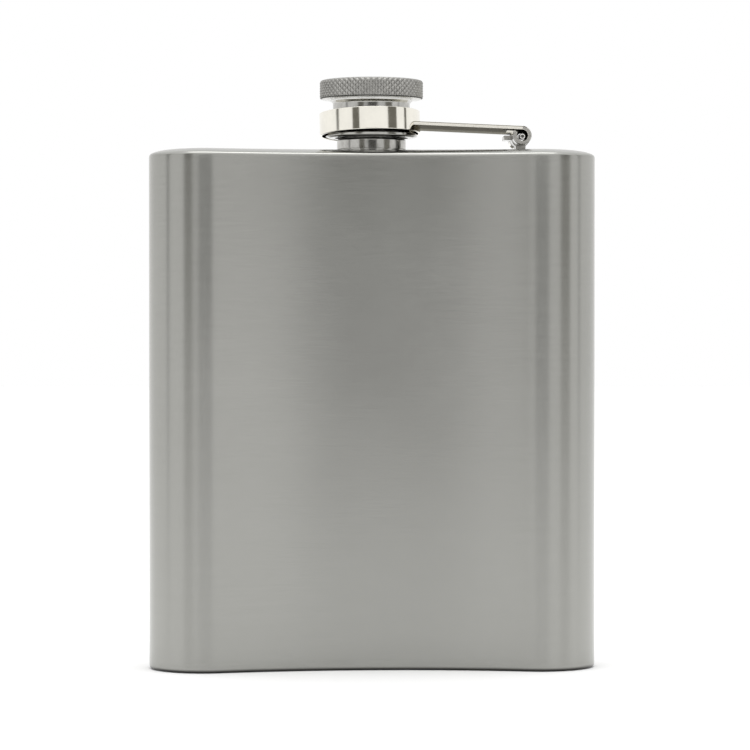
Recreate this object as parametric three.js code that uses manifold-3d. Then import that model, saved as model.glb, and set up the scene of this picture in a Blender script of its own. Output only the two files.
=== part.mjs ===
// Curved pocket hip flask with a captive screw cap.
// Millimetres, +Z up. X runs across the width, Y from the concave front (-Y)
// to the convex back (+Y). Origin: middle of the box round the flask, at its base.

import * as THREE from 'three';
import { mergeVertices } from 'three/addons/utils/BufferGeometryUtils.js';
import Module from 'manifold-3d';

// ---------------------------------------------------------------- dimensions
const BODY_H = 105.9;        // base to the top pan's rounded edge
const CROWN = 1.0;           // how far the top pan domes above that edge
const CROWN_IN = 9.0;        // width of the domed border, from the edge inwards
const END_R = 11.5;          // half the wall-to-wall thickness, radius of the round ends
const MID_R = 134.5;         // radius of the curved middle line of the section
const MID_CY = -132.25;      // y of that arc's centre
const END_X = 34.5;          // x of the centres of the round ends
const SHEET = 0.6;           // sheet thickness
const PAN_H = 2.0;           // depth of the drawn top and bottom pans
const EDGE_R = 0.8;          // rounding of the top and bottom edges

const AX_Y = 2.25;           // y of the neck and cap axis
const NECK_BORE_R = 5.3;
const NECK_ROOT_R = 6.0;
const NECK_FOOT_R = 7.15;
const NECK_FOOT_TOP = 109.15;
const NECK_TOP = 115.4;
const NECK_SPIGOT_R = 6.3;
const THREAD_PITCH = 1.5;
const THREAD_R = 0.3;        // half-round thread section

const CAP_BOTTOM = 109.45;
const RETAINER_R = 9.5;
const RETAINER_TOP = 110.3;
const SHANK_R = 8.0;
const SHANK_BORE_R = 7.6;
const SLEEVE_OUT_R = 7.52;
const SLEEVE_IN_R = 7.2;
const SLEEVE_TOP = 115.7;
const CEILING = 117.1;
const HEAD_R = 10.73;
const HEAD_BOTTOM = 117.5;
const HEAD_TOP = 121.65;
const KNURL_TEETH = 56;
const KNURL_DEPTH = 0.28;

const COLLAR_R = 10.45;
const COLLAR_IN_R = 10.0;
const COLLAR_LIP_R = 8.75;
const COLLAR_BOTTOM = 110.05;
const COLLAR_TOP = 114.68;
const COLLAR_DX = -0.33;     // the collar hangs slightly to one side of the shank
const STRAP_TILT = -2.3;     // degrees about X, front edge up
const COLLAR_TILT = -2.0;    // degrees about X, beyond the strap's own tilt
const COLLAR_ROLL = -1.3;    // degrees about Y, hinge side up

const PIN_X = 30.9;
const PIN_Z = 109.6;
const PIN_R = 0.6;
const PIN_LEN = 12.1;
const CURL_R = 1.95;
const STRAP_T = 0.78;
const STRAP_W = 11.5;
const STRAP_SLOPE = 2.4;     // degrees, falling towards the hinge
const NOTCH_HALF = 2.65;
const KNUCKLE_HALF = 2.35;
const KNUCKLE_R = 2.0;
const KNUCKLE_BORE = 0.8;

// ------------------------------------------------------------------- helpers
const wasm = await Module();
wasm.setup();

// One closed mesh with shared vertices and faces pointing out.
function weld(geometry) {
  let g = geometry.clone();
  for (const name of Object.keys(g.attributes)) {
    if (name !== 'position') g.deleteAttribute(name);
  }
  g = mergeVertices(g, 1e-4);
  const p = g.attributes.position;
  const src = g.index.array;
  const tri = [];
  let six = 0;
  const a = new THREE.Vector3(), b = new THREE.Vector3(), c = new THREE.Vector3();
  for (let i = 0; i < src.length; i += 3) {
    const [u, v, w] = [src[i], src[i + 1], src[i + 2]];
    if (u === v || v === w || w === u) continue;
    a.fromBufferAttribute(p, u);
    b.fromBufferAttribute(p, v);
    c.fromBufferAttribute(p, w);
    six += a.dot(b.clone().cross(c));
    tri.push(u, v, w);
  }
  if (six < 0) for (let i = 0; i < tri.length; i += 3) [tri[i], tri[i + 1]] = [tri[i + 1], tri[i]];
  g.setIndex(tri);
  return g;
}

function solid(geometry) {
  const g = weld(geometry);
  return new wasm.Manifold(new wasm.Mesh({
    numProp: 3,
    vertProperties: new Float32Array(g.attributes.position.array),
    triVerts: new Uint32Array(g.index.array),
  }));
}

function shell(manifold) {
  const m = manifold.getMesh();
  const g = new THREE.BufferGeometry();
  g.setAttribute('position', new THREE.BufferAttribute(new Float32Array(m.vertProperties), 3));
  g.setIndex(Array.from(m.triVerts));
  g.computeVertexNormals();
  return g;
}

function moved(geometry, x, y, z) {
  return geometry.translate(x, y, z);
}

// Revolved about +Z.
function lathe(points, segments) {
  const g = new THREE.LatheGeometry(points.map(([r, z]) => new THREE.Vector2(r, z)), segments);
  return g.rotateX(Math.PI / 2);
}

function rod(radius, length, segments) {            // along Z, centred
  return new THREE.CylinderGeometry(radius, radius, length, segments).rotateX(Math.PI / 2);
}

function rodY(radius, length, segments) {           // along Y, centred
  return new THREE.CylinderGeometry(radius, radius, length, segments);
}

// Curved section of the flask, drawn inwards by d.
function section(d) {
  const a = Math.asin(END_X / MID_R);
  const ey = MID_CY + Math.sqrt(MID_R * MID_R - END_X * END_X);
  const s = new THREE.Shape();
  s.absarc(END_X, ey, END_R - d, -Math.PI / 2 - a, Math.PI / 2 - a, false);
  s.absarc(0, MID_CY, MID_R + END_R - d, Math.PI / 2 - a, Math.PI / 2 + a, false);
  s.absarc(-END_X, ey, END_R - d, Math.PI / 2 + a, 1.5 * Math.PI + a, false);
  s.absarc(0, MID_CY, MID_R - END_R + d, Math.PI / 2 + a, Math.PI / 2 - a, true);
  return s;
}

function prism(shape, z0, z1, segments = 9) {
  const g = new THREE.ExtrudeGeometry(shape, { depth: z1 - z0, bevelEnabled: false, curveSegments: segments });
  return moved(g, 0, 0, z0);
}

// Prism of the section drawn in by d, its lower border domed down from z = 0.1 to z = -CROWN.
function crowned(d) {
  const g = new THREE.ExtrudeGeometry(section(d), {
    depth: 1, bevelEnabled: true, bevelThickness: CROWN + 0.1, bevelSize: CROWN_IN,
    bevelOffset: -CROWN_IN, bevelSegments: 3, curveSegments: 9,
  });
  return solid(moved(g, 0, 0, 0.1));
}

// Pan with a rounded outer edge at z = 0, open at z = PAN_H. A domed pan bulges below z = 0.
function pan(domed) {
  const full = new THREE.ExtrudeGeometry(section(0), {
    depth: 6, bevelEnabled: true, bevelThickness: EDGE_R, bevelSize: EDGE_R,
    bevelOffset: -EDGE_R, bevelSegments: 3, curveSegments: 9,
  });
  let outer = solid(moved(full, 0, 0, EDGE_R));
  let room = solid(prism(section(SHEET), SHEET, PAN_H + 1));
  if (domed) {
    outer = outer.add(crowned(EDGE_R));
    room = room.add(crowned(EDGE_R + 0.3).translate([0, 0, SHEET]));
  }
  const above = solid(moved(new THREE.BoxGeometry(120, 60, 20), 0, 0, PAN_H + 10));
  return outer.subtract(above).subtract(room);
}

// Helical ridge of round section about +Z.
function helix(radius, z0, turns, tube) {
  class Helix extends THREE.Curve {
    getPoint(t, target = new THREE.Vector3()) {
      const a = 2 * Math.PI * turns * t;
      return target.set(radius * Math.cos(a), radius * Math.sin(a), z0 + THREAD_PITCH * turns * t);
    }
  }
  const ring = new THREE.Shape();
  ring.absarc(0, 0, tube, 0, 2 * Math.PI, false);
  return new THREE.ExtrudeGeometry(ring, {
    extrudePath: new Helix(), steps: Math.round(turns * 22), curveSegments: 3, bevelEnabled: false,
  });
}

function metal(color, roughness, metalness = 1) {
  return new THREE.MeshStandardMaterial({ color, roughness, metalness });
}

function part(name, geometry, material) {
  const m = new THREE.Mesh(geometry, material);
  m.name = name;
  return m;
}

const flask = new THREE.Group();

// ---------------------------------------------------------------- vessel shell
// Wrapped side wall, open at both ends.
const wrapShape = section(0);
wrapShape.holes.push(section(SHEET));
const bodyWrap = part('body_wrap', weld(prism(wrapShape, PAN_H, BODY_H - PAN_H)), metal(0x9f9f99, 0.42));
flask.add(bodyWrap);

// Drawn bottom pan.
flask.add(part('bottom_plate', shell(pan(false)), metal(0x9a9a95, 0.42)));

// Drawn top pan, domed, with the hole for the neck. It is made like the bottom pan and turned over.
{
  const g = shell(pan(true));
  const p = g.attributes.position;
  for (let i = 0; i < p.count; i++) p.setZ(i, BODY_H - p.getZ(i));
  const hole = solid(moved(rod(NECK_SPIGOT_R + 0.3, 8, 40), 0, AX_Y, BODY_H));
  flask.add(part('top_plate', shell(solid(g).subtract(hole)), metal(0xa8a8a3, 0.38)));
}

// ------------------------------------------------------------------------ neck
{
  const spout = solid(lathe([
    [NECK_BORE_R, 105.6], [NECK_SPIGOT_R, 105.6], [NECK_SPIGOT_R, BODY_H + CROWN], [NECK_FOOT_R, BODY_H + CROWN],
    [NECK_FOOT_R, NECK_FOOT_TOP - 0.2], [NECK_FOOT_R - 0.2, NECK_FOOT_TOP], [NECK_ROOT_R, NECK_FOOT_TOP],
    [NECK_ROOT_R, NECK_TOP - 0.2], [NECK_ROOT_R - 0.2, NECK_TOP], [NECK_BORE_R + 0.15, NECK_TOP],
    [NECK_BORE_R, NECK_TOP - 0.15], [NECK_BORE_R, 105.6],
  ], 40));
  const thread = solid(helix(NECK_ROOT_R, 110.4, 2.6, THREAD_R));
  const g = shell(spout.add(thread));
  const m = part('neck_spout', g, metal(0xc9c6bc, 0.2));
  m.position.set(0, AX_Y, 0);
  flask.add(m);
}

// --------------------------------------------------------------- hinge on top
{
  const knuckle = solid(moved(rodY(KNUCKLE_R, 2 * KNUCKLE_HALF, 28), 0, 0, 0));
  const foot = solid(moved(new THREE.BoxGeometry(2.2, 2 * KNUCKLE_HALF, 1.4), 0, 0, BODY_H + CROWN - PIN_Z + 0.7));
  const tail = solid(moved(new THREE.BoxGeometry(2.1, 2 * KNUCKLE_HALF, 0.93), -2.4, 0, -0.1));
  const bore = solid(rodY(KNUCKLE_BORE, 12, 20));
  const m = part('hinge_bracket', shell(knuckle.add(foot).add(tail).subtract(bore)), metal(0xc8c6bd, 0.2));
  m.position.set(PIN_X, AX_Y, PIN_Z);
  flask.add(m);

  const h = PIN_LEN / 2;
  const pin = part('hinge_pin', weld(lathe([
    [0, -h], [PIN_R - 0.12, -h], [PIN_R, -h + 0.12], [PIN_R, h - 0.12], [PIN_R - 0.12, h], [0, h],
  ], 20).rotateX(Math.PI / 2)), metal(0xd6d5cf, 0.18));
  pin.position.set(PIN_X, AX_Y, PIN_Z);
  flask.add(pin);
}

// --------------------------------------------------- captive collar and strap
// Both sit in one group, tipped a little: the loose hinge lets the collar rest
// unevenly round the cap's shank.
const captive = new THREE.Group();
const CAPTIVE_Z = (COLLAR_BOTTOM + COLLAR_TOP) / 2;
captive.position.set(0, AX_Y, CAPTIVE_Z);
captive.rotation.x = THREE.MathUtils.degToRad(STRAP_TILT);
flask.add(captive);

{
  const lo = COLLAR_BOTTOM - CAPTIVE_Z, hi = COLLAR_TOP - CAPTIVE_Z, e = 0.35;
  const collar = part('collar_ring', weld(lathe([
    [COLLAR_IN_R, lo], [COLLAR_R - e, lo], [COLLAR_R - 0.1, lo + 0.12], [COLLAR_R, lo + e],
    [COLLAR_R, hi - e], [COLLAR_R - 0.1, hi - 0.12], [COLLAR_R - e, hi],
    [COLLAR_LIP_R, hi], [COLLAR_LIP_R, hi - 0.55], [COLLAR_IN_R, hi - 0.55], [COLLAR_IN_R, lo],
  ], 56)), metal(0xdcd8cc, 0.12));
  collar.position.x = COLLAR_DX;
  collar.rotation.set(THREE.MathUtils.degToRad(COLLAR_TILT), THREE.MathUtils.degToRad(COLLAR_ROLL), 0);
  captive.add(collar);

  // Flat strip that curls round the pin. Drawn in the XZ plane about the pin axis.
  const k = THREE.MathUtils.degToRad(STRAP_SLOPE);
  const up = Math.PI / 2 - k;                          // direction normal to the strip
  const along = new THREE.Vector2(-Math.cos(k), Math.sin(k));
  const at = (r, s) => [r * Math.cos(up) + s * along.x, r * Math.sin(up) + s * along.y];
  const stripLen = PIN_X - 6.0;
  const tip = up - THREE.MathUtils.degToRad(300);
  const s = new THREE.Shape();
  s.moveTo(...at(CURL_R, stripLen));
  s.lineTo(...at(CURL_R, 0));
  s.absarc(0, 0, CURL_R, up, tip, true);
  s.lineTo((CURL_R - STRAP_T) * Math.cos(tip), (CURL_R - STRAP_T) * Math.sin(tip));
  s.absarc(0, 0, CURL_R - STRAP_T, tip, up, false);
  s.lineTo(...at(CURL_R - STRAP_T, stripLen));
  s.closePath();
  const strip = new THREE.ExtrudeGeometry(s, { depth: STRAP_W, bevelEnabled: false, curveSegments: 14 });
  strip.rotateX(Math.PI / 2);
  strip.translate(PIN_X, STRAP_W / 2, PIN_Z - CAPTIVE_Z);
  const notch = solid(moved(new THREE.BoxGeometry(12, 2 * NOTCH_HALF, 12), PIN_X - 2.6 + 6, 0, PIN_Z - CAPTIVE_Z));
  const ring = solid(moved(rod(COLLAR_R + 0.3, 12, 56), COLLAR_DX, 0, 0));
  captive.add(part('hinge_strap', shell(solid(strip).subtract(notch).subtract(ring)), metal(0xd4d1c6, 0.14)));
}

// ------------------------------------------------------------------- screw cap
const cap = new THREE.Group();
cap.position.set(0, AX_Y, 0);
flask.add(cap);

{
  // Head with a diamond knurl round its edge: alternate points of a fine grid are sunk.
  const rows = [HEAD_BOTTOM, HEAD_BOTTOM + 0.35, HEAD_BOTTOM + 0.9, HEAD_BOTTOM + 1.45,
    HEAD_BOTTOM + 2.05, HEAD_BOTTOM + 2.65, HEAD_BOTTOM + 3.25];
  const g = lathe([
    [0, HEAD_BOTTOM], [HEAD_R - 0.3, rows[0]], ...rows.slice(1).map((z) => [HEAD_R, z]),
    [HEAD_R - 0.3, HEAD_TOP - 0.35], [HEAD_R - 0.9, HEAD_TOP - 0.12], [HEAD_R - 2.6, HEAD_TOP], [0, HEAD_TOP],
  ], 2 * KNURL_TEETH);
  const p = g.attributes.position;
  for (let i = 0; i < p.count; i++) {
    const x = p.getX(i), y = p.getY(i), r = Math.hypot(x, y);
    if (r < HEAD_R - 0.01) continue;
    const j = rows.findIndex((z) => Math.abs(z - p.getZ(i)) < 0.01);
    const n = Math.round(Math.atan2(y, x) / (Math.PI / KNURL_TEETH));
    if (Math.abs(n + j) % 2 === 1) {
      const q = (HEAD_R - KNURL_DEPTH) / r;
      p.setX(i, x * q);
      p.setY(i, y * q);
    }
  }
  const shank = solid(lathe([
    [0, RETAINER_TOP], [SHANK_R, RETAINER_TOP], [SHANK_R, HEAD_BOTTOM - 0.9],
    [SHANK_R + 0.42, HEAD_BOTTOM - 0.4], [SHANK_R + 0.42, HEAD_BOTTOM + 0.5], [0, HEAD_BOTTOM + 0.5],
  ], 48));
  const room = solid(lathe([[0, 100], [SHANK_BORE_R, 100], [SHANK_BORE_R, CEILING], [0, CEILING]], 48));
  cap.add(part('cap_head', shell(solid(g).add(shank).subtract(room)), metal(0xa3a39e, 0.45)));
}

// Flanged ring that keeps the collar on the shank.
cap.add(part('cap_retaining_ring', weld(lathe([
  [SHANK_BORE_R, CAP_BOTTOM], [RETAINER_R - 0.15, CAP_BOTTOM], [RETAINER_R, CAP_BOTTOM + 0.15],
  [RETAINER_R, RETAINER_TOP - 0.15], [RETAINER_R - 0.15, RETAINER_TOP], [SHANK_BORE_R, RETAINER_TOP],
  [SHANK_BORE_R, CAP_BOTTOM],
], 48)), metal(0xcfccc1, 0.16)));

// Threaded sleeve inside the shank.
{
  const sleeve = solid(lathe([
    [SLEEVE_IN_R, RETAINER_TOP + 0.2], [SLEEVE_OUT_R, RETAINER_TOP + 0.2], [SLEEVE_OUT_R, SLEEVE_TOP],
    [SLEEVE_IN_R, SLEEVE_TOP], [SLEEVE_IN_R, RETAINER_TOP + 0.2],
  ], 48));
  const thread = solid(helix(SLEEVE_IN_R, 111.1, 2.4, THREAD_R - 0.02));
  cap.add(part('cap_thread_sleeve', shell(sleeve.add(thread)), metal(0xb9b7ae, 0.3)));
}

// Sealing disc under the cap's ceiling.
cap.add(part('sealing_gasket', weld(lathe([
  [0, SLEEVE_TOP], [7.2, SLEEVE_TOP], [7.35, SLEEVE_TOP + 0.15], [7.35, CEILING], [0, CEILING],
], 40)), metal(0xe4e2dc, 0.75, 0)));

export default flask;
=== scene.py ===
import math

import bmesh
import bpy
import numpy as np
from mathutils import Matrix, Vector


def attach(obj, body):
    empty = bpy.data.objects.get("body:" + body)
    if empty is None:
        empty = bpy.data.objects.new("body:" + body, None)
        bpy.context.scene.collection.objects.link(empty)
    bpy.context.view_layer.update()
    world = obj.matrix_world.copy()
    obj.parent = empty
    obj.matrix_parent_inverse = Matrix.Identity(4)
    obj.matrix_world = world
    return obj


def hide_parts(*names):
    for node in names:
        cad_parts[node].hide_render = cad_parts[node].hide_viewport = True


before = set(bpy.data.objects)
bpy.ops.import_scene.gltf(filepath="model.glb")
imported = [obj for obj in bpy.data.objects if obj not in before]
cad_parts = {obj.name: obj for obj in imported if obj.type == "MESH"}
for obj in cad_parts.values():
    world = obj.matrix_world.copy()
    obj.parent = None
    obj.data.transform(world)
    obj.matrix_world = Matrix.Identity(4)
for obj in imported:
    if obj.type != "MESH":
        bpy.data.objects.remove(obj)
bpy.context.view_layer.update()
scene = bpy.context.scene

MM = 0.001

# ------------------------------------------------------------------ dimensions
# The same driving sizes as the CAD part, in millimetres.
BODY_H, END_R, MID_R, MID_CY, END_X = 105.9, 11.5, 134.5, -132.25, 34.5
CROWN, CROWN_IN = 1.0, 9.0
TOP_Z = BODY_H + CROWN
SHEET, PAN_H, EDGE_R = 0.6, 2.0, 0.8
AX_Y = 2.25
NECK_BORE_R, NECK_ROOT_R, NECK_FOOT_R, NECK_SPIGOT_R = 5.3, 6.0, 7.15, 6.3
NECK_FOOT_TOP, NECK_TOP = 109.15, 115.4
PITCH, THREAD_R = 1.5, 0.3
CAP_BOTTOM, RETAINER_R, RETAINER_TOP = 109.45, 9.5, 110.3
SHANK_R, SHANK_BORE_R = 8.0, 7.6
SLEEVE_OUT_R, SLEEVE_IN_R, SLEEVE_TOP, CEILING = 7.52, 7.2, 115.7, 117.1
HEAD_R, HEAD_BOTTOM, HEAD_TOP = 10.73, 117.5, 121.65
COLLAR_R, COLLAR_IN_R, COLLAR_LIP_R = 10.45, 10.0, 8.75
COLLAR_BOTTOM, COLLAR_TOP, COLLAR_DX = 110.05, 114.68, -0.33
STRAP_TILT, COLLAR_TILT, COLLAR_ROLL = -2.3, -2.0, -1.3
PIN_X, PIN_Z, PIN_R, PIN_LEN = 30.9, 109.6, 0.6, 12.1
CURL_R, STRAP_T, STRAP_W, STRAP_SLOPE = 1.95, 0.78, 11.5, 2.4
NOTCH_HALF, KNUCKLE_HALF, KNUCKLE_R, KNUCKLE_BORE = 2.65, 2.35, 2.0, 0.8


# --------------------------------------------------------------- mesh helpers
def new_object(name, verts, faces, smooth=True, sharp=None):
    mesh = bpy.data.meshes.new(name)
    mesh.from_pydata([tuple(c * MM for c in v) for v in verts], [], faces)
    mesh.validate()
    bm = bmesh.new()
    bm.from_mesh(mesh)
    bmesh.ops.remove_doubles(bm, verts=bm.verts, dist=1e-8)
    bmesh.ops.recalc_face_normals(bm, faces=bm.faces)
    bm.to_mesh(mesh)
    bm.free()
    ob = bpy.data.objects.new(name, mesh)
    scene.collection.objects.link(ob)
    if smooth:
        mesh.polygons.foreach_set("use_smooth", [True] * len(mesh.polygons))
        if sharp is not None:
            mesh.set_sharp_from_angle(angle=math.radians(sharp))
    return ob


def loop_rings(rings, closed_u=True, closed_v=True):
    """Quads between successive rings of equal length."""
    n = len(rings[0])
    verts = [v for r in rings for v in r]
    faces = []
    m = len(rings)
    for i in range(m if closed_v else m - 1):
        a, b = i * n, ((i + 1) % m) * n
        for k in range(n if closed_u else n - 1):
            q = (k + 1) % n
            faces.append((a + k, a + q, b + q, b + k))
    return verts, faces


def rounded(points, radii, steps=5):
    """A closed 2-D outline with its corners rounded by the given radii."""
    out = []
    n = len(points)
    for i, p in enumerate(points):
        r = radii[i] if not isinstance(radii, (int, float)) else radii
        p = Vector(p)
        if r <= 0:
            out.append(tuple(p))
            continue
        a = (Vector(points[i - 1]) - p)
        b = (Vector(points[(i + 1) % n]) - p)
        la, lb = a.length, b.length
        a.normalize()
        b.normalize()
        ang = math.acos(max(-1, min(1, a.dot(b))))
        if ang < 1e-3 or abs(ang - math.pi) < 1e-3:
            out.append(tuple(p))
            continue
        t = min(r / math.tan(ang / 2), 0.49 * la, 0.49 * lb)
        rr = t * math.tan(ang / 2)
        c = p + (a + b).normalized() * (rr / math.sin(ang / 2))
        s, e = p + a * t - c, p + b * t - c
        s_ang, e_ang = math.atan2(s.y, s.x), math.atan2(e.y, e.x)
        d = (e_ang - s_ang + math.pi) % (2 * math.pi) - math.pi
        for k in range(steps + 1):
            w = s_ang + d * k / steps
            out.append((c.x + rr * math.cos(w), c.y + rr * math.sin(w)))
    return out


def supported(outline, gap=0.07, least=0.35):
    """The same closed outline with an extra point close to each end of its longer sides."""
    out = []
    n = len(outline)
    for i, p in enumerate(outline):
        q = outline[(i + 1) % n]
        out.append(p)
        length = math.hypot(q[0] - p[0], q[1] - p[1])
        if length > least and not (p[0] == 0 and q[0] == 0):
            for w in (gap / length, 1 - gap / length):
                out.append((p[0] + (q[0] - p[0]) * w, p[1] + (q[1] - p[1]) * w))
    return out


def lathe(name, outline, segs=160, centre=(0.0, AX_Y), sharp=40, matrix=None):
    """Closed (r, z) outline turned about the vertical axis through centre."""
    rings = []
    outline = supported(outline)
    for k in range(segs):
        a = 2 * math.pi * k / segs
        c, s = math.cos(a), math.sin(a)
        rings.append([(centre[0] + r * c, centre[1] + r * s, z) for r, z in outline])
    verts, faces = loop_rings(rings)
    n = len(outline)
    axis = {i for i, (r, _) in enumerate(outline) if r == 0}
    faces = [f for f in faces if not (f[0] % n in axis and f[1] % n in axis)]
    if matrix is not None:
        verts = [tuple(matrix @ Vector(v)) for v in verts]
    return new_object(name, verts, faces, sharp=sharp)


def kidney(d, n_end=40, n_arc=96):
    """Section outline drawn inwards by d, counter-clockwise, with one point count for every d."""
    a = math.asin(END_X / MID_R)
    ey = MID_CY + math.sqrt(MID_R ** 2 - END_X ** 2)
    pts = []

    def arc(cx, cy, r, a0, a1, n):
        for i in range(n):
            t = a0 + (a1 - a0) * i / n
            pts.append((cx + r * math.cos(t), cy + r * math.sin(t)))

    arc(END_X, ey, END_R - d, -math.pi / 2 - a, math.pi / 2 - a, n_end)
    arc(0, MID_CY, MID_R + END_R - d, math.pi / 2 - a, math.pi / 2 + a, n_arc)
    arc(-END_X, ey, END_R - d, math.pi / 2 + a, 1.5 * math.pi + a, n_end)
    arc(0, MID_CY, MID_R - END_R + d, math.pi / 2 + a, math.pi / 2 - a, n_arc)
    return pts


# ---------------------------------------------------------------- node helpers
def material(name):
    m = bpy.data.materials.new(name)
    m.use_nodes = True
    nt = m.node_tree
    bsdf = next(n for n in nt.nodes if n.type == "BSDF_PRINCIPLED")
    return m, nt, bsdf


def node(nt, kind, **props):
    n = nt.nodes.new(kind)
    for k, v in props.items():
        if k in n.inputs and not hasattr(n, k):
            n.inputs[k].default_value = v
        else:
            setattr(n, k, v)
    return n


def ramp(nt, stops, fac):
    r = nt.nodes.new("ShaderNodeValToRGB")
    e = r.color_ramp.elements
    while len(e) > 1:
        e.remove(e[-1])
    e[0].position, e[0].color = stops[0][0], stops[0][1]
    for p, c in stops[1:]:
        x = e.new(p)
        x.color = c
    nt.links.new(fac, r.inputs[0])
    return r.outputs[0]


def grey(v, a=1.0):
    return (v, v, v, a)


def coords(nt, scale=(1, 1, 1), loc=(0, 0, 0)):
    tc = nt.nodes.new("ShaderNodeTexCoord")
    mp = nt.nodes.new("ShaderNodeMapping")
    mp.inputs["Scale"].default_value = scale
    mp.inputs["Location"].default_value = loc
    nt.links.new(tc.outputs["Object"], mp.inputs[0])
    return mp.outputs[0]


def noise(nt, vec, scale, detail=3.0, rough=0.5):
    n = nt.nodes.new("ShaderNodeTexNoise")
    n.inputs["Scale"].default_value = scale
    n.inputs["Detail"].default_value = detail
    n.inputs["Roughness"].default_value = rough
    nt.links.new(vec, n.inputs["Vector"])
    return n.outputs[0]


def mth(nt, op, a, b=None, c=None, clamp=False):
    n = nt.nodes.new("ShaderNodeMath")
    n.operation = op
    n.use_clamp = clamp
    for i, v in enumerate((a, b, c)):
        if v is None:
            continue
        if isinstance(v, (int, float)):
            n.inputs[i].default_value = v
        else:
            nt.links.new(v, n.inputs[i])
    return n.outputs[0]


def mix_col(nt, fac, a, b, mode="MIX"):
    n = nt.nodes.new("ShaderNodeMix")
    n.data_type = "RGBA"
    n.blend_type = mode
    for sock, v in ((n.inputs[0], fac), (n.inputs[6], a), (n.inputs[7], b)):
        if isinstance(v, (int, float)):
            sock.default_value = v
        elif isinstance(v, tuple):
            sock.default_value = v
        else:
            nt.links.new(v, sock)
    return n.outputs[2]


def bump(nt, height, strength, distance, bsdf, normal=None):
    b = nt.nodes.new("ShaderNodeBump")
    b.inputs["Strength"].default_value = strength
    b.inputs["Distance"].default_value = distance
    nt.links.new(height, b.inputs["Height"])
    if normal is not None:
        nt.links.new(normal, b.inputs["Normal"])
    if bsdf is not None:
        nt.links.new(b.outputs[0], bsdf.inputs["Normal"])
    return b.outputs[0]


# ------------------------------------------------------------------- materials
def brushed_body(name="brushed_body"):
    m, nt, p = material(name)
    p.inputs["Metallic"].default_value = 1.0
    # fine grain running across the width: long in x and y, very short in z
    hair = noise(nt, coords(nt, (0.9, 0.9, 60.0)), 190.0, 2.0, 0.6)
    hair2 = noise(nt, coords(nt, (2.2, 2.2, 40.0), (3.1, 1.7, 0.4)), 120.0, 2.0, 0.55)
    streak = noise(nt, coords(nt, (0.35, 0.35, 30.0), (0.6, 0.2, 0.9)), 60.0, 3.0, 0.6)
    blotch = noise(nt, coords(nt, (1.0, 1.0, 0.7), (0.5, 0.1, 0.3)), 34.0, 3.0, 0.55)
    fine = mth(nt, "MULTIPLY_ADD", hair, 0.55, mth(nt, "MULTIPLY", hair2, 0.45))
    tone = mth(nt, "MULTIPLY_ADD", streak, 0.12, mth(nt, "MULTIPLY_ADD", fine, 0.48, mth(nt, "MULTIPLY", blotch, 0.30)))
    col = ramp(nt, [(0.30, (0.328, 0.328, 0.309, 1)), (0.5, (0.358, 0.358, 0.338, 1)), (0.70, (0.388, 0.388, 0.367, 1))], tone)
    # the turned-in edge at the base is painted near black: painted shade, standing in for the shadowed floor it
    # reflects
    tc = nt.nodes.new("ShaderNodeTexCoord")
    sep = nt.nodes.new("ShaderNodeSeparateXYZ")
    nt.links.new(tc.outputs["Object"], sep.inputs[0])
    painted_foot_shade = nt.nodes.new("ShaderNodeMapRange")
    painted_foot_shade.interpolation_type = "SMOOTHSTEP"
    painted_foot_shade.inputs[1].default_value, painted_foot_shade.inputs[2].default_value = 0.0003, 0.0009
    painted_foot_shade.inputs[3].default_value, painted_foot_shade.inputs[4].default_value = 0.12, 1.0
    nt.links.new(sep.outputs[2], painted_foot_shade.inputs[0])
    col = mix_col(nt, painted_foot_shade.outputs[0], (0.03, 0.03, 0.028, 1), col)
    nt.links.new(col, p.inputs["Base Color"])
    rough = mth(nt, "MULTIPLY_ADD", mth(nt, "SUBTRACT", blotch, 0.5), 0.08, mth(nt, "MULTIPLY_ADD", mth(nt, "SUBTRACT", fine, 0.5), 0.05, 0.235))
    nt.links.new(rough, p.inputs["Roughness"])
    p.inputs["Anisotropic"].default_value = 0.5
    p.inputs["Anisotropic Rotation"].default_value = 0.25
    tan = nt.nodes.new("ShaderNodeTangent")
    tan.direction_type = "RADIAL"
    tan.axis = "Z"
    nt.links.new(tan.outputs[0], p.inputs["Tangent"])
    bump(nt, fine, 0.10, 0.00005, p)
    return m


def polished(name, colour, rough=0.09, variation=0.05):
    m, nt, p = material(name)
    p.inputs["Metallic"].default_value = 1.0
    n1 = noise(nt, coords(nt), 420.0, 3.0, 0.6)
    n2 = noise(nt, coords(nt, (1, 1, 1), (0.3, 0.1, 0.2)), 1800.0, 2.0, 0.6)
    lo = tuple(c * 0.94 for c in colour) + (1,)
    col = ramp(nt, [(0.35, lo), (0.65, colour + (1,))], n1)
    nt.links.new(col, p.inputs["Base Color"])
    nt.links.new(mth(nt, "MULTIPLY_ADD", mth(nt, "SUBTRACT", n1, 0.5), variation * 2, rough), p.inputs["Roughness"])
    bump(nt, mth(nt, "MULTIPLY_ADD", n2, 0.4, n1), 0.06, 0.00005, p)
    return m


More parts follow.
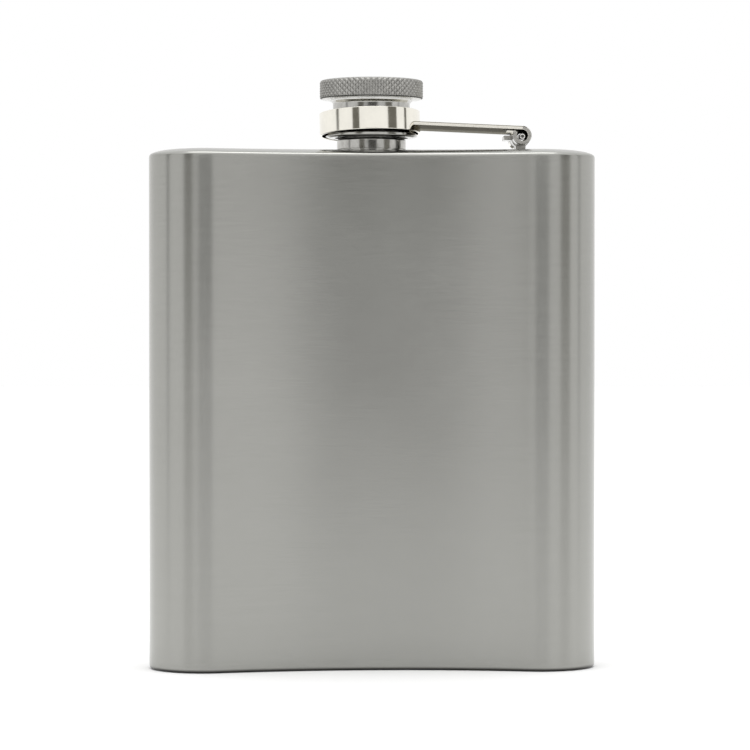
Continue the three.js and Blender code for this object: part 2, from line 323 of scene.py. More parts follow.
def cap_metal(name="cap_metal"):
    m, nt, p = material(name)
    p.inputs["Metallic"].default_value = 1.0
    n1 = noise(nt, coords(nt), 900.0, 3.0, 0.6)
    n2 = noise(nt, coords(nt, (1, 1, 1), (0.2, 0.4, 0.1)), 3200.0, 2.0, 0.6)
    col = ramp(nt, [(0.3, (0.26, 0.256, 0.243, 1)), (0.7, (0.365, 0.36, 0.342, 1))], n1)
    # painted shade: a dark band in the base colour where the knurl meets the underside, standing in for the shadowed
    # undercut
    tc = nt.nodes.new("ShaderNodeTexCoord")
    sep = nt.nodes.new("ShaderNodeSeparateXYZ")
    nt.links.new(tc.outputs["Object"], sep.inputs[0])
    painted_shade_mask = nt.nodes.new("ShaderNodeMapRange")
    painted_shade_mask.interpolation_type = "SMOOTHSTEP"
    painted_shade_mask.inputs[1].default_value, painted_shade_mask.inputs[2].default_value = (HEAD_BOTTOM + 0.17) * MM, (HEAD_BOTTOM + 0.29) * MM
    nt.links.new(sep.outputs[2], painted_shade_mask.inputs[0])
    painted_shade_lower_edge = nt.nodes.new("ShaderNodeMapRange")
    painted_shade_lower_edge.inputs[1].default_value, painted_shade_lower_edge.inputs[2].default_value = (HEAD_BOTTOM + 0.04) * MM, (HEAD_BOTTOM + 0.09) * MM
    painted_shade_lower_edge.inputs[3].default_value, painted_shade_lower_edge.inputs[4].default_value = 1.0, 0.0
    nt.links.new(sep.outputs[2], painted_shade_lower_edge.inputs[0])
    col = mix_col(nt, mth(nt, "MAXIMUM", painted_shade_mask.outputs[0], painted_shade_lower_edge.outputs[0]), (0.02, 0.02, 0.019, 1), col)
    nt.links.new(col, p.inputs["Base Color"])
    nt.links.new(mth(nt, "MULTIPLY_ADD", n1, 0.2, 0.34), p.inputs["Roughness"])
    bump(nt, mth(nt, "MULTIPLY_ADD", n2, 0.5, n1), 0.15, 0.00004, p)
    return m


def turned_steel(name, painted_shade_below=None):
    """Semi-polished turned steel; the part of it below the given height (mm) is painted near black: painted shade for
    the shadowed gap under the collar.
    """
    m, nt, p = material(name)
    p.inputs["Metallic"].default_value = 1.0
    n1 = noise(nt, coords(nt, (1.0, 1.0, 26.0)), 420.0, 3.0, 0.6)
    n2 = noise(nt, coords(nt, (1, 1, 1), (0.3, 0.1, 0.2)), 900.0, 3.0, 0.6)
    col = ramp(nt, [(0.3, (0.40, 0.395, 0.375, 1)), (0.7, (0.50, 0.495, 0.475, 1))], n2)
    if painted_shade_below is not None:
        tc = nt.nodes.new("ShaderNodeTexCoord")
        sep = nt.nodes.new("ShaderNodeSeparateXYZ")
        nt.links.new(tc.outputs["Object"], sep.inputs[0])
        painted_shade_mask = nt.nodes.new("ShaderNodeMapRange")
        painted_shade_mask.interpolation_type = "SMOOTHSTEP"
        painted_shade_mask.inputs[1].default_value, painted_shade_mask.inputs[2].default_value = (painted_shade_below - 0.4) * MM, painted_shade_below * MM
        nt.links.new(sep.outputs[2], painted_shade_mask.inputs[0])
        col = mix_col(nt, painted_shade_mask.outputs[0], (0.015, 0.015, 0.014, 1), col)
    nt.links.new(col, p.inputs["Base Color"])
    nt.links.new(mth(nt, "MULTIPLY_ADD", n1, 0.10, 0.09), p.inputs["Roughness"])
    bump(nt, n1, 0.05, 0.00003, p)
    return m


def rubber(name="gasket_rubber"):
    m, nt, p = material(name)
    n1 = noise(nt, coords(nt), 700.0, 3.0, 0.6)
    col = ramp(nt, [(0.3, (0.70, 0.69, 0.65, 1)), (0.7, (0.78, 0.77, 0.73, 1))], n1)
    nt.links.new(col, p.inputs["Base Color"])
    nt.links.new(mth(nt, "MULTIPLY_ADD", n1, 0.2, 0.55), p.inputs["Roughness"])
    bump(nt, n1, 0.15, 0.00005, p)
    return m


def side_with_painted_tone(name, near, painted_far_tone, edge=(0.3, 0.285, 0.24)):
    """Unpolished side of the strip: a dull olive grey, blended across its width into a second colour that is a painted
    reflection.
    """
    m, nt, p = material(name)
    p.inputs["Metallic"].default_value = 1.0
    n1 = noise(nt, coords(nt, (1.0, 8.0, 8.0)), 500.0, 3.0, 0.6)
    tc = nt.nodes.new("ShaderNodeTexCoord")
    sep = nt.nodes.new("ShaderNodeSeparateXYZ")
    nt.links.new(tc.outputs["Object"], sep.inputs[0])
    # painted reflection: the base colour blends across the strip's width from the near colour to the far tone
    w = nt.nodes.new("ShaderNodeMapRange")
    w.interpolation_type = "SMOOTHSTEP"
    w.inputs[1].default_value, w.inputs[2].default_value = 0.0025, 0.0045
    nt.links.new(sep.outputs[1], w.inputs[0])
    col = mix_col(nt, w.outputs[0], near + (1,), painted_far_tone + (1,))
    col = mix_col(nt, mth(nt, "MULTIPLY", n1, 0.35), col, (0.10, 0.095, 0.08, 1))
    nt.links.new(col, p.inputs["Base Color"])
    nt.links.new(mth(nt, "MULTIPLY_ADD", n1, 0.12, 0.22), p.inputs["Roughness"])
    p.inputs["Specular Tint"].default_value = edge + (1,)
    bump(nt, n1, 0.06, 0.00004, p)
    return m


BODY_MAT = brushed_body()
RAW_SIDE_AND_SHEEN = side_with_painted_tone("side_with_painted_tone", (0.16, 0.15, 0.12), (0.66, 0.65, 0.62), (0.20, 0.19, 0.155))
CUT_EDGE = side_with_painted_tone("cut_edge", (0.52, 0.51, 0.48), (0.46, 0.45, 0.42), (0.8, 0.8, 0.76))
# near-black side colour for the inside of the strap's curl: painted shade
CURL_PAINTED_SHADE = side_with_painted_tone("curl_painted_shade", (0.035, 0.033, 0.03), (0.035, 0.033, 0.03), (0.1, 0.1, 0.09))
NICKEL = polished("polished_nickel", (0.885, 0.86, 0.785))
STEEL_POLISHED = polished("polished_steel", (0.80, 0.79, 0.76), rough=0.12)
CAP_MAT = cap_metal()
# below 112.4 mm the shank is painted near black: painted shade where it shows in the dark gap above the retaining ring
SHANK_MAT = turned_steel("turned_shank", 112.4)
NECK_MAT = turned_steel("turned_neck")
BEAD_MAT = polished("satin_bead", (0.70, 0.70, 0.68), rough=0.33)
GASKET_MAT = rubber()


def dress(ob, mat, body, slot, *nodes):
    ob.data.materials.clear()
    ob.data.materials.append(mat)
    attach(ob, body)
    if nodes:
        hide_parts(*nodes)
    return ob


# ---------------------------------------------------------------- vessel shell
def wall():
    rings = []
    outer, inner = kidney(0), kidney(SHEET)
    zs = [PAN_H + (BODY_H - 2 * PAN_H) * i / 24 for i in range(25)]
    for z in zs:
        rings.append([(x, y, z) for x, y in outer])
    for z in reversed(zs):
        rings.append([(x, y, z) for x, y in inner])
    verts, faces = loop_rings(rings)
    return new_object("side_wall", verts, faces, sharp=35)


def pan(name, flip):
    """Drawn pan, rounded at its outer edge: closed shell. The flipped one carries the domed shoulder."""
    steps = 8
    span = math.pi / 2 if not flip else math.radians(62)
    prof = [(0.0, PAN_H)]
    for k in range(steps + 1):
        a = span * k / steps
        prof.append((EDGE_R * (1 - math.cos(a)), EDGE_R * (1 - math.sin(a))))
    lifts = [(0.6, 0.0), (0.8, -0.08), (1.05, -0.17), (1.5, -0.31), (2.2, -0.47), (3.2, -0.63), (4.5, -0.77), (6.0, -0.88), (8.0, -0.96), (10.6, -CROWN)]
    if flip:
        outer = prof + lifts
        inner = [(d, z + SHEET) for d, z in reversed(lifts) if d > 1.2] + [(1.0, SHEET + 0.0), (0.75, SHEET + 0.3), (SHEET, 1.2), (SHEET, PAN_H)]
    else:
        outer = prof + [(1.6, 0.0), (3.0, 0.0), (5.5, 0.0), (8.5, 0.0), (10.6, 0.0)]
        inner = [(10.6, SHEET), (8.5, SHEET), (5.5, SHEET), (3.0, SHEET), (1.6, SHEET), (1.0, SHEET + 0.1),
                 (0.75, SHEET + 0.35), (SHEET, 1.2), (SHEET, PAN_H)]
    rings = [[(x, y, z) for x, y in kidney(d)] for d, z in outer]
    rings_in = [[(x, y, z) for x, y in kidney(d)] for d, z in inner]
    verts, faces = loop_rings(rings + rings_in, closed_v=True)
    n = len(rings[0])
    # the closed_v joins outer middle to inner middle: replace that strip by two flat fields
    i_mid = len(outer) - 1
    faces = [f for f in faces if not (min(f) // n == i_mid and max(f) // n == i_mid + 1)]

    def field(row):
        # bridge the thin slit left along the middle line
        base = row * n
        ne, na = 40, 96
        # right end fan, back arc, left end fan, front arc
        back = [base + ne + i for i in range(na)] + [base + ne + na]
        front = [base + 2 * ne + na + i for i in range(na)] + [base]
        front = list(reversed(front))
        out = []
        out.append([base + i for i in range(ne + 1)])
        out.append([base + ne + na + i for i in range(ne + 1)])
        for i in range(na):
            a, b = back[i], back[i + 1]
            c, d = front[i + 1], front[i]
            out.append([a, b, c, d])
        return out

    faces = [list(f) for f in faces] + field(i_mid) + field(i_mid + 1)
    if flip:
        verts = [(x, y, BODY_H - z) for x, y, z in verts]
    return new_object(name, verts, faces, sharp=35)


side_wall = dress(wall(), BODY_MAT, "flask", "body_steel", "body_wrap")
base_pan = dress(pan("base_pan", False), BODY_MAT, "flask", "body_steel", "bottom_plate")


def boolean(ob, other, op):
    mod = ob.modifiers.new("b", "BOOLEAN")
    mod.operation = op
    mod.solver = "EXACT"
    mod.object = other
    apply_all(ob)
    bpy.data.objects.remove(other, do_unlink=True)


def apply_all(ob):
    dg = bpy.context.evaluated_depsgraph_get()
    mesh = bpy.data.meshes.new_from_object(ob.evaluated_get(dg))
    ob.modifiers.clear()
    old = ob.data
    ob.data = mesh
    bpy.data.meshes.remove(old)


def resmooth(ob, angle):
    ob.data.polygons.foreach_set("use_smooth", [True] * len(ob.data.polygons))
    ob.data.set_sharp_from_angle(angle=math.radians(angle))


shoulder_ob = pan("shoulder_pan", True)
boolean(shoulder_ob, lathe("mouth_cut", [(0.0, 100.0), (NECK_SPIGOT_R + 0.3, 100.0), (NECK_SPIGOT_R + 0.3, 112.0), (0.0, 112.0)], 96), "DIFFERENCE")
resmooth(shoulder_ob, 35)
shoulder_pan = dress(shoulder_ob, BODY_MAT, "flask", "body_steel", "top_plate")


# ------------------------------------------------------------------------ neck
def thread_surface(root_r, z0, z1, start, turns, height, inward, segs=120, dz=0.1):
    """(r, z) rows of a cylinder carrying a helical rounded ridge that fades in and out."""
    rows = []
    nz = int(round((z1 - z0) / dz))
    for j in range(nz + 1):
        z = z0 + (z1 - z0) * j / nz
        row = []
        for k in range(segs):
            a = k / segs
            # height of the helix centre nearest to z at this angle
            best = 0.0
            for t in range(int(turns) + 2):
                u = t + a
                if u < 0 or u > turns:
                    continue
                zc = start + PITCH * u
                fade = min(1.0, u / 0.12, (turns - u) / 0.12)
                d = abs(z - zc) / 0.48
                if d < 1:
                    best = max(best, fade * (0.5 + 0.5 * math.cos(math.pi * d)))
            row.append(root_r + (-1 if inward else 1) * height * best)
        rows.append((z, row))
    return rows


def neck():
    segs = 120
    rows = thread_surface(NECK_ROOT_R, NECK_FOOT_TOP + 0.1, NECK_TOP - 0.3, 110.4, 2.6, 0.3, False, segs)
    ringset = []

    def ring(r, z):
        ringset.append([(r * math.cos(2 * math.pi * k / segs), AX_Y + r * math.sin(2 * math.pi * k / segs), z) for k in range(segs)])

    for r, z in [(NECK_BORE_R, 105.7), (NECK_BORE_R + 0.1, 105.6), (NECK_SPIGOT_R - 0.1, 105.6), (NECK_SPIGOT_R, 105.7), (NECK_SPIGOT_R, TOP_Z + 0.005),
                 (NECK_FOOT_R - 0.3, TOP_Z + 0.005), (NECK_FOOT_R - 0.3, TOP_Z + 0.16), (NECK_FOOT_R - 0.05, TOP_Z + 0.17), (NECK_FOOT_R, TOP_Z + 0.22),
                 (NECK_FOOT_R, TOP_Z + 0.28), (NECK_FOOT_R, NECK_FOOT_TOP - 0.36), (NECK_FOOT_R, NECK_FOOT_TOP - 0.3), (NECK_FOOT_R - 0.06, NECK_FOOT_TOP - 0.1), (NECK_FOOT_R - 0.2, NECK_FOOT_TOP),
                 (NECK_ROOT_R + 0.15, NECK_FOOT_TOP), (NECK_ROOT_R + 0.03, NECK_FOOT_TOP + 0.04)]:
        ring(r, z)
    for z, row in rows:
        ringset.append([(row[k] * math.cos(2 * math.pi * k / segs), AX_Y + row[k] * math.sin(2 * math.pi * k / segs), z) for k in range(segs)])
    for r, z in [(NECK_ROOT_R - 0.02, NECK_TOP - 0.18), (NECK_ROOT_R - 0.1, NECK_TOP - 0.05), (NECK_ROOT_R - 0.22, NECK_TOP),
                 (NECK_BORE_R + 0.2, NECK_TOP), (NECK_BORE_R + 0.06, NECK_TOP - 0.06), (NECK_BORE_R, NECK_TOP - 0.2),
                 (NECK_BORE_R, 111.0)]:
        ring(r, z)
    verts, faces = loop_rings(ringset)
    return new_object("threaded_neck", verts, faces, sharp=40)


dress(neck(), NECK_MAT, "flask", "polished_fittings", "neck_spout")


# ------------------------------------------------------------------- screw cap
def cap_outer():
    """Knurled head, shank and inside in one turned skin, with a real crossed knurl."""
    teeth, per = 56, 12
    segs = teeth * per
    rings = []

    def ring(r, z, knurl=None):
        pts = []
        for k in range(segs):
            a = 2 * math.pi * k / segs
            rr = r
            if knurl is not None:
                rr = r - knurl(k / per, z)
            pts.append((rr * math.cos(a), AX_Y + rr * math.sin(a), z))
        rings.append(pts)

    pitch_z = 1.05
    depth = 0.29
    lo, hi = HEAD_BOTTOM + 0.12, HEAD_TOP - 0.28

    def saw(v):
        v = v - math.floor(v)
        return abs(2 * v - 1)           # 1 at the groove, 0 on the ridge centre

    def knurl(u, z):
        v = (z - lo) / pitch_z
        g = max(saw(u * 1.0 + v + 0.5), saw(u * 1.0 - v + 0.5))
        return depth * max(0.0, (g - 0.12) / 0.88) ** 1.15

    def fade(w):
        return lambda u, z: knurl(u, z) * w

    # inside, from the foot up to the ceiling
    ring(SHANK_BORE_R, RETAINER_TOP)
    ring(SHANK_BORE_R, CEILING - 0.1)
    ring(SHANK_BORE_R - 0.1, CEILING)
    ring(0.0, CEILING)
    ceiling_row = len(rings) - 1
    # top, from the middle out and down the side: a shallow crown, then the knurled edge
    rim = HEAD_TOP - 0.35
    ring(0.0, HEAD_TOP)
    for r, z in [(3.0, HEAD_TOP - 0.005), (5.5, HEAD_TOP - 0.02), (7.5, HEAD_TOP - 0.06), (8.8, HEAD_TOP - 0.12), (9.4, HEAD_TOP - 0.17)]:
        ring(r, z)
    ring(9.75, rim + 0.13, fade(0.10))
    ring(HEAD_R - 0.6, rim + 0.09, fade(0.35))
    ring(HEAD_R - 0.38, rim + 0.03, fade(0.7))
    ring(HEAD_R - 0.2, rim - 0.06, fade(0.95))
    ring(HEAD_R - 0.07, rim - 0.18, fade(1.0))
    n = 30
    for i in range(n + 1):
        z = rim - 0.3 - (rim - 0.3 - (HEAD_BOTTOM + 0.32)) * i / n
        ring(HEAD_R, z, fade(1.0))
    ring(HEAD_R - 0.04, HEAD_BOTTOM + 0.24, fade(0.9))
    ring(HEAD_R - 0.12, HEAD_BOTTOM + 0.14, fade(0.5))
    ring(HEAD_R - 0.24, HEAD_BOTTOM + 0.04, fade(0.1))
    ring(HEAD_R - 0.4, HEAD_BOTTOM)
    ring(HEAD_R - 0.6, HEAD_BOTTOM)
    ring(SHANK_R + 0.55, HEAD_BOTTOM)
    ring(SHANK_R + 0.47, HEAD_BOTTOM)
    ring(SHANK_R + 0.44, HEAD_BOTTOM - 0.03)
    ring(SHANK_R + 0.44, HEAD_BOTTOM - 0.10)
    ring(SHANK_R + 0.44, HEAD_BOTTOM - 0.34)
    ring(SHANK_R + 0.42, HEAD_BOTTOM - 0.41)
    ring(SHANK_R + 0.37, HEAD_BOTTOM - 0.46)
    ring(SHANK_R + 0.32, HEAD_BOTTOM - 0.52)
    ring(SHANK_R + 0.06, HEAD_BOTTOM - 0.84)
    ring(SHANK_R + 0.015, HEAD_BOTTOM - 0.91)
    ring(SHANK_R, HEAD_BOTTOM - 1.0)
    ring(SHANK_R, HEAD_BOTTOM - 1.07)
    ring(SHANK_R, RETAINER_TOP + 3.5)
    ring(SHANK_R, RETAINER_TOP + 0.1)
    ring(SHANK_R, RETAINER_TOP)
    verts, faces = loop_rings(rings)
    # nothing joins the two points on the axis
    s = segs
    faces = [f for f in faces if not (min(f) // s == ceiling_row and max(f) // s == ceiling_row + 1)]
    ob = new_object("screw_cap", verts, faces, sharp=42)
    return ob


cap_ob = dress(cap_outer(), CAP_MAT, "cap", "cap_steel", "cap_head")
cap_ob.data.materials.append(SHANK_MAT)
cap_ob.data.materials.append(BEAD_MAT)
for poly in cap_ob.data.polygons:
    c = poly.center
    r = math.hypot(c.x, c.y - AX_Y * MM) / MM
    if c.z < (HEAD_BOTTOM + 0.02) * MM and r > SHANK_R - 0.1:
        poly.material_index = 1 if c.z < (HEAD_BOTTOM - 0.44) * MM else 2

dress(lathe("retaining_ring", rounded(
    [(SHANK_BORE_R, CAP_BOTTOM), (RETAINER_R - 0.6, CAP_BOTTOM), (RETAINER_R, CAP_BOTTOM + 0.28), (RETAINER_R - 0.05, RETAINER_TOP),
     (SHANK_BORE_R, RETAINER_TOP)],
    [0.05, 0.1, 0.15, 0.15, 0.0], 5), 160), NECK_MAT, "cap", "polished_fittings", "cap_retaining_ring")


def sleeve():
    segs = 120
    rows = thread_surface(SLEEVE_IN_R, RETAINER_TOP + 0.3, SLEEVE_TOP, 111.0, 2.4, 0.3, True, segs)
    ringset = []
    for z, row in rows:
        ringset.append([(row[k] * math.cos(2 * math.pi * k / segs), AX_Y + row[k] * math.sin(2 * math.pi * k / segs), z) for k in range(segs)])
    for r, z in [(SLEEVE_OUT_R, SLEEVE_TOP), (SLEEVE_OUT_R, RETAINER_TOP + 0.3), (SLEEVE_OUT_R - 0.1, RETAINER_TOP + 0.2), (SLEEVE_IN_R + 0.1, RETAINER_TOP + 0.2)]:
        ringset.append([(r * math.cos(2 * math.pi * k / segs), AX_Y + r * math.sin(2 * math.pi * k / segs), z) for k in range(segs)])
    verts, faces = loop_rings(ringset)
    return new_object("thread_sleeve", verts, faces, sharp=40)


dress(sleeve(), STEEL_POLISHED, "cap", "thread_insert", "cap_thread_sleeve")

gasket_ob = lathe("seal_disc", [(0.0, SLEEVE_TOP + 0.06), (4.0, SLEEVE_TOP + 0.04), (5.2, SLEEVE_TOP + 0.12), (5.5, SLEEVE_TOP + 0.16),
                                (6.2, SLEEVE_TOP + 0.16), (6.5, SLEEVE_TOP + 0.1), (7.0, SLEEVE_TOP + 0.02), (7.2, SLEEVE_TOP + 0.05),
                                (7.33, SLEEVE_TOP + 0.18), (7.35, CEILING - 0.1), (7.28, CEILING), (0.0, CEILING)], 120)
dress(gasket_ob, GASKET_MAT, "cap", "gasket", "sealing_gasket")

# --------------------------------------------------- captive collar and strap
CAPTIVE_Z = (COLLAR_BOTTOM + COLLAR_TOP) / 2
TIP = Matrix.Translation((0, AX_Y, CAPTIVE_Z)) @ Matrix.Rotation(math.radians(STRAP_TILT), 4, "X")
SEAT = (TIP @ Matrix.Translation((COLLAR_DX, 0, 0)) @ Matrix.Rotation(math.radians(COLLAR_TILT), 4, "X")
        @ Matrix.Rotation(math.radians(COLLAR_ROLL), 4, "Y"))
lo, hi = COLLAR_BOTTOM - CAPTIVE_Z, COLLAR_TOP - CAPTIVE_Z
collar_outline = rounded(
    [(COLLAR_IN_R, lo), (COLLAR_R, lo), (COLLAR_R, hi), (COLLAR_LIP_R, hi), (COLLAR_LIP_R, hi - 0.55), (COLLAR_IN_R, hi - 0.55)],
    [0.08, 0.12, 0.12, 0.10, 0.10, 0.1], 5)
dress(lathe("captive_collar", collar_outline, 200, (0.0, 0.0), 40, SEAT), NICKEL, "strap", "polished_fittings", "collar_ring")


def strap():
    k = math.radians(STRAP_SLOPE)
    up = math.pi / 2 - k
    ax, az = -math.cos(k), math.sin(k)

    def at(r, s):
        return (r * math.cos(up) + s * ax, r * math.sin(up) + s * az)

    tip = up - math.radians(300)
    ri, ro = CURL_R - STRAP_T, CURL_R
    rm = (ri + ro) / 2
    # centre line of the sheet: from the collar, along, round the curl
    line = []
    reach = PIN_X - 8.0
    n_s = 40
    for i in range(n_s + 1):
        s = reach * (1 - i / n_s)
        line.append((at(rm, s), (math.cos(up), math.sin(up))))
    n_c = 72
    for i in range(1, n_c + 1):
        a = up + (tip - up) * i / n_c
        line.append(((rm * math.cos(a), rm * math.sin(a)), (math.cos(a), math.sin(a))))
    t2 = STRAP_T / 2
    e = 0.08

    def section(c, nrm, y0, y1):
        f, g = e + 0.05, 0.2
        pts = [(y0 + e, -t2), (y0 + f, -t2), (y1 - f, -t2), (y1 - e, -t2), (y1 - 0.03, -t2 + 0.03), (y1, -t2 + e), (y1, -t2 + f),
               (y1, t2 - g - 0.06), (y1, t2 - g), (y1 - 0.06, t2 - 0.06), (y1 - g, t2), (y1 - g - 0.06, t2),
               (y0 + g + 0.06, t2), (y0 + g, t2), (y0 + 0.06, t2 - 0.06), (y0, t2 - g), (y0, t2 - g - 0.06),
               (y0, -t2 + f), (y0, -t2 + e), (y0 + 0.03, -t2 + 0.03)]
        out = []
        for y, h in pts:
            out.append((PIN_X + c[0] + nrm[0] * h, y, PIN_Z - CAPTIVE_Z + c[1] + nrm[1] * h))
        return out

    # the main sheet
    w = STRAP_W / 2
    main = [section(c, nrm, -w, w) for c, nrm in line[:n_s - 4]]
    verts, faces = loop_rings(main, closed_u=True, closed_v=False)
    n = len(main[0])
    faces.append(list(range(n)))
    faces.append(list(range((len(main) - 1) * n, len(main) * n)))
    objs = [new_object("strap_a", verts, faces, sharp=40)]
    # two legs that carry the curls
    for y0, y1 in ((-w, -NOTCH_HALF), (NOTCH_HALF, w)):
        leg = [section(c, nrm, y0, y1) for c, nrm in line[n_s - 6:]]
        verts, faces = loop_rings(leg, closed_u=True, closed_v=False)
        faces.append(list(range(n)))
        faces.append(list(range((len(leg) - 1) * n, len(leg) * n)))
        objs.append(new_object("strap_leg", verts, faces, sharp=40))
    return objs


main_ob, leg_a, leg_b = strap()
boolean(main_ob, leg_a, "UNION")
boolean(main_ob, leg_b, "UNION")
cutter = lathe("cutter", [(0.0, -8.0), (COLLAR_R - 0.05, -8.0), (COLLAR_R - 0.05, 8.0), (0.0, 8.0)], 200, (COLLAR_DX, 0.0))
boolean(main_ob, cutter, "DIFFERENCE")
main_ob.data.transform(Matrix.Scale(1, 4))
M = Matrix.Diagonal((MM, MM, MM, 1)) @ TIP @ Matrix.Diagonal((1 / MM, 1 / MM, 1 / MM, 1))
main_ob.data.transform(M)
main_ob.name = "hinge_strip"
resmooth(main_ob, 35)
dress(main_ob, NICKEL, "strap", "polished_fittings", "hinge_strap")
main_ob.data.materials.append(RAW_SIDE_AND_SHEEN)
main_ob.data.materials.append(CUT_EDGE)
main_ob.data.materials.append(CURL_PAINTED_SHADE)
main_ob.data.materials.append(NECK_MAT)
for poly in main_ob.data.polygons:
    c, nn = poly.center, poly.normal
    dx, dz = c.x / MM - PIN_X, c.z / MM - PIN_Z
    near = math.hypot(dx, dz)
    # inside of the curl: painted shade, a near-black base colour
    if near < CURL_R + 0.3 and abs(nn.y) < 0.5 and (nn.x * dx + nn.z * dz) < 0:
        poly.material_index = 3                      # inside of the curl
    # outside of the curl: painted shade, the same sheet given the darker turned-steel colour
    elif near < CURL_R + 0.05 and abs(nn.y) < 0.5 and (dz < 0.4 or dx > 1.2):
        poly.material_index = 4                      # outside of the curl
    elif dx < -1.0 and near > CURL_R and nn.z < -0.6:
        poly.material_index = 1                      # underside of the strip
    elif dx < 1.0 and 0.25 < nn.z < 0.93 and abs(nn.y) > 0.3:
        poly.material_index = 1                      # broken top corners
    elif near < CURL_R + 0.2 and abs(nn.y) > 0.9 and (dx > -0.2 or dz < 1.0):
        poly.material_index = 2                      # sheared ends of the curl


# --------------------------------------------------------------- hinge on top
def bracket():
    """Rolled sheet knuckle with a foot and a tail, drawn in XZ about the pin."""
    zb = TOP_Z - PIN_Z
    out = []

    def arc(a0, a1, n, r=KNUCKLE_R):
        for i in range(n + 1):
            a = math.radians(a0 + (a1 - a0) * i / n)
            out.append((r * math.cos(a), r * math.sin(a)))

    # round the knuckle clockwise from the tail's top, over the pin and down to the foot
    out += [(-3.4, -0.56), (-3.45, -0.48), (-3.45, 0.24), (-3.38, 0.33), (-3.25, 0.36)]
    arc(169, -58, 44)
    out += [(1.0, zb + 0.12), (1.05, zb + 0.01), (-1.05, zb + 0.01), (-1.0, zb + 0.12)]
    arc(-122, -162, 10)
    out += [(-2.2, -0.56), (-3.3, -0.56)]
    n = len(out)
    ys = [-KNUCKLE_HALF, -KNUCKLE_HALF + 0.03, -KNUCKLE_HALF + 0.12, KNUCKLE_HALF - 0.12, KNUCKLE_HALF - 0.03, KNUCKLE_HALF]
    sc = [0.955, 0.985, 1.0, 1.0, 0.985, 0.955]
    hole = [(KNUCKLE_BORE * math.cos(2 * math.pi * i / 48), KNUCKLE_BORE * math.sin(2 * math.pi * i / 48)) for i in range(48)]
    rings = []
    for y, s in zip(ys, sc):
        rings.append([(PIN_X + x * s, AX_Y + y, PIN_Z + (z * s if z > zb + 0.1 else z)) for x, z in out])
    verts, faces = loop_rings(rings, closed_u=True, closed_v=False)
    faces.append(list(range(n)))
    faces.append(list(range((len(ys) - 1) * n, len(ys) * n)))
    ob = new_object("hinge_knuckle", verts, faces, sharp=40)
    drill_v, drill_f = loop_rings([[(PIN_X + x, AX_Y + y, PIN_Z + z) for x, z in hole] for y in (-5, 5)], closed_v=False)
    drill_f.append(list(range(48)))
    drill_f.append(list(range(48, 96)))
    drill = new_object("drill", drill_v, drill_f)
    boolean(ob, drill, "DIFFERENCE")
    resmooth(ob, 35)
    return ob


def knuckle_end_painted_shade(name="knuckle_end_painted_shade"):
    """Sheared end of the knuckle: painted near black round the pin as painted shade for the recess, lighter further
    out.
    """
    m, nt, p = material(name)
    p.inputs["Metallic"].default_value = 1.0
    tc = nt.nodes.new("ShaderNodeTexCoord")
    sep = nt.nodes.new("ShaderNodeSeparateXYZ")
    nt.links.new(tc.outputs["Object"], sep.inputs[0])
    dx = mth(nt, "SUBTRACT", sep.outputs[0], PIN_X * MM)
    dz = mth(nt, "SUBTRACT", sep.outputs[2], PIN_Z * MM)
    r = mth(nt, "SQRT", mth(nt, "MULTIPLY_ADD", dx, dx, mth(nt, "MULTIPLY", dz, dz)))
    w = nt.nodes.new("ShaderNodeMapRange")
    w.inputs[1].default_value, w.inputs[2].default_value = 0.00135, 0.0017
    nt.links.new(r, w.inputs[0])
    n1 = noise(nt, coords(nt), 900.0, 3.0, 0.6)
    unshaded_colour = ramp(nt, [(0.3, (0.34, 0.33, 0.31, 1)), (0.7, (0.46, 0.45, 0.42, 1))], n1)
    nt.links.new(mix_col(nt, w.outputs[0], (0.02, 0.02, 0.018, 1), unshaded_colour), p.inputs["Base Color"])
    nt.links.new(mth(nt, "MULTIPLY_ADD", n1, 0.15, 0.25), p.inputs["Roughness"])
    bump(nt, n1, 0.06, 0.00004, p)
    return m


bracket_ob = dress(bracket(), NECK_MAT, "flask", "polished_fittings", "hinge_bracket")
# the knuckle's sheared ends get a colour painted near black round the pin: painted shade
bracket_ob.data.materials.append(knuckle_end_painted_shade())
for poly in bracket_ob.data.polygons:
    if abs(poly.normal.y) > 0.9 and poly.center.x > (PIN_X - 1.9) * MM:
        poly.material_index = 1                      # sheared ends of the knuckle

h = PIN_LEN / 2
pin_outline = [(0.0, -h), (PIN_R - 0.2, -h), (PIN_R - 0.08, -h + 0.03), (PIN_R, -h + 0.15), (PIN_R, h - 0.15),
               (PIN_R - 0.08, h - 0.03), (PIN_R - 0.2, h), (0.0, h)]
PIN_M = Matrix.Translation((PIN_X, AX_Y, PIN_Z)) @ Matrix.Rotation(math.pi / 2, 4, "X")
dress(lathe("hinge_pin_rod", pin_outline, 48, (0.0, 0.0), 40, PIN_M), STEEL_POLISHED, "flask", "polished_fittings", "hinge_pin")

# ----------------------------------------------------------------------- stage
bpy.ops.mesh.primitive_plane_add(size=6.0, location=(0, 0, 0))
floor = bpy.context.object
floor.name = "floor"
fm, fnt, fp = material("floor_white")
fp.inputs["Base Color"].default_value = (0.93, 0.93, 0.93, 1)
fp.inputs["Roughness"].default_value = 0.9
fp.inputs["Specular IOR Level"].default_value = 0.1
floor.data.materials.append(fm)

# ---------------------------------------------------------------------- camera
YAW = 2.8
cam_data = bpy.data.cameras.new("camera")
cam = bpy.data.objects.new("camera", cam_data)
scene.collection.objects.link(cam)
scene.camera = cam
cam_data.sensor_width = 36.0
cam_data.lens = 3080 / 750 * 36.0
cam_data.clip_start = 0.01
cam_data.clip_end = 20
DIST = 0.6405
yaw = math.radians(YAW)
cam.location = (-DIST * math.sin(yaw), AX_Y * MM - DIST * math.cos(yaw), 0.070)
cam.rotation_euler = (math.radians(90 - 0.87), 0, -yaw - math.radians(0.067))

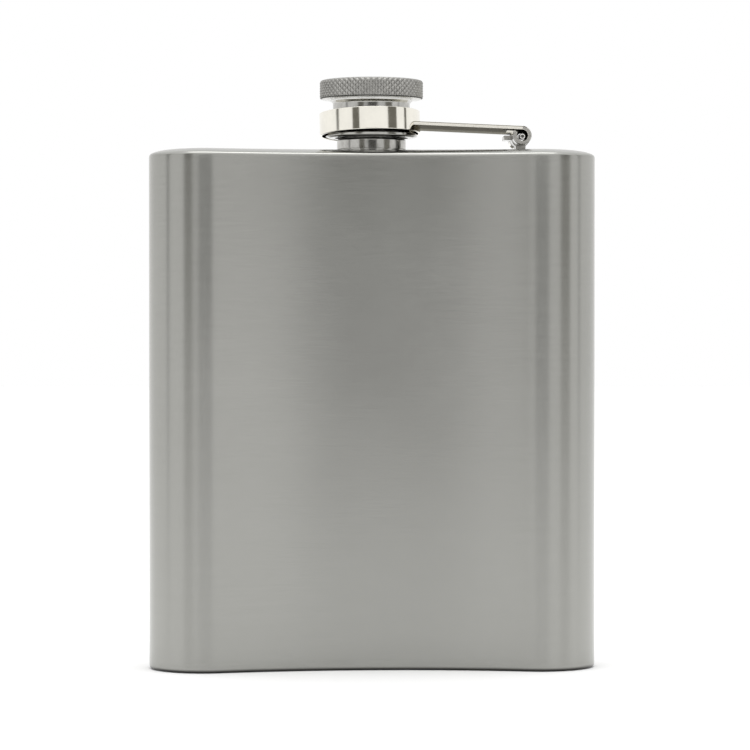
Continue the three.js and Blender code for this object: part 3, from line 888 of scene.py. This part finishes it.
# ----------------------------------------------------------------------- light
def studio_world():
    """White to the eye; what shines on the object is a soft studio: light panels with gaps between them."""
    world = bpy.data.worlds.new("studio")
    scene.world = world
    world.use_nodes = True
    nt = world.node_tree
    nt.nodes.clear()
    out = nt.nodes.new("ShaderNodeOutputWorld")
    tc = nt.nodes.new("ShaderNodeTexCoord")
    sep = nt.nodes.new("ShaderNodeSeparateXYZ")
    nt.links.new(tc.outputs["Generated"], sep.inputs[0])
    x, y, z = sep.outputs
    phi = mth(nt, "ARCTAN2", x, mth(nt, "MULTIPLY", y, -1.0))
    t = mth(nt, "MULTIPLY_ADD", phi, 0.5 / math.pi, 0.5)

    def at(deg):
        return 0.5 + deg / 360.0

    def shade(v):
        return (v, v * 0.995, v * 0.985, 1) if v > 0.3 else (v, v * 0.96, v * 0.84, 1)

    def band(table):
        return ramp(nt, [(at(deg), shade(v)) for deg, v in table], t)

    def rise(z0, z1):
        up = nt.nodes.new("ShaderNodeMapRange")
        up.interpolation_type = "SMOOTHERSTEP"
        up.inputs[1].default_value, up.inputs[2].default_value = z0, z1
        nt.links.new(z, up.inputs[0])
        return up.outputs[0]

    col = mix_col(nt, rise(0.115, 0.140), band(LOW), band(HIGH))
    col = mix_col(nt, rise(0.25, 0.75), col, (OVERHEAD, OVERHEAD, OVERHEAD, 1))
    lp = nt.nodes.new("ShaderNodeLightPath")
    col = mix_col(nt, lp.outputs["Is Camera Ray"], col, (1.0, 1.0, 1.0, 1))
    bg = nt.nodes.new("ShaderNodeBackground")
    nt.links.new(col, bg.inputs[0])
    nt.links.new(bg.outputs[0], out.inputs[0])


# brightness seen round the compass: 0 is towards the viewer, positive to the object's hinge side
LOW = [(-180, 1.02), (-87, 1.02), (-84, 0.42), (-80, 0.42), (-77, 1.02), (-45, 0.96), (-43, 0.20), (-27, 0.20), (-24, 0.66),
       (-15, 0.58), (-11, 0.05), (12, 0.05), (18, 0.78), (38, 0.86), (41, 0.26), (60, 0.26), (63, 1.02), (82, 1.02), (84, 0.5), (87, 0.5), (90, 1.02), (180, 1.02)]
HIGH = [(-180, 1.0), (-88, 1.0), (-85, 0.12), (-80, 0.12), (-77, 1.0), (-44, 1.0), (-42, 0.16), (-28, 0.16), (-26, 1.0),
        (39, 1.0), (41, 0.16), (61, 0.16), (63, 1.0), (83, 1.0), (85, 0.12), (89, 0.12), (92, 1.0), (180, 1.0)]
OVERHEAD = 1.25
studio_world()

key_data = bpy.data.lights.new("overhead_panel", "AREA")
key_data.shape = "RECTANGLE"
key_data.size, key_data.size_y = 0.9, 0.6
key_data.energy = 4.2
key = bpy.data.objects.new("overhead_panel", key_data)
key.location = (0.0, -0.15, 1.25)
scene.collection.objects.link(key)

scene.view_settings.view_transform = "Standard"
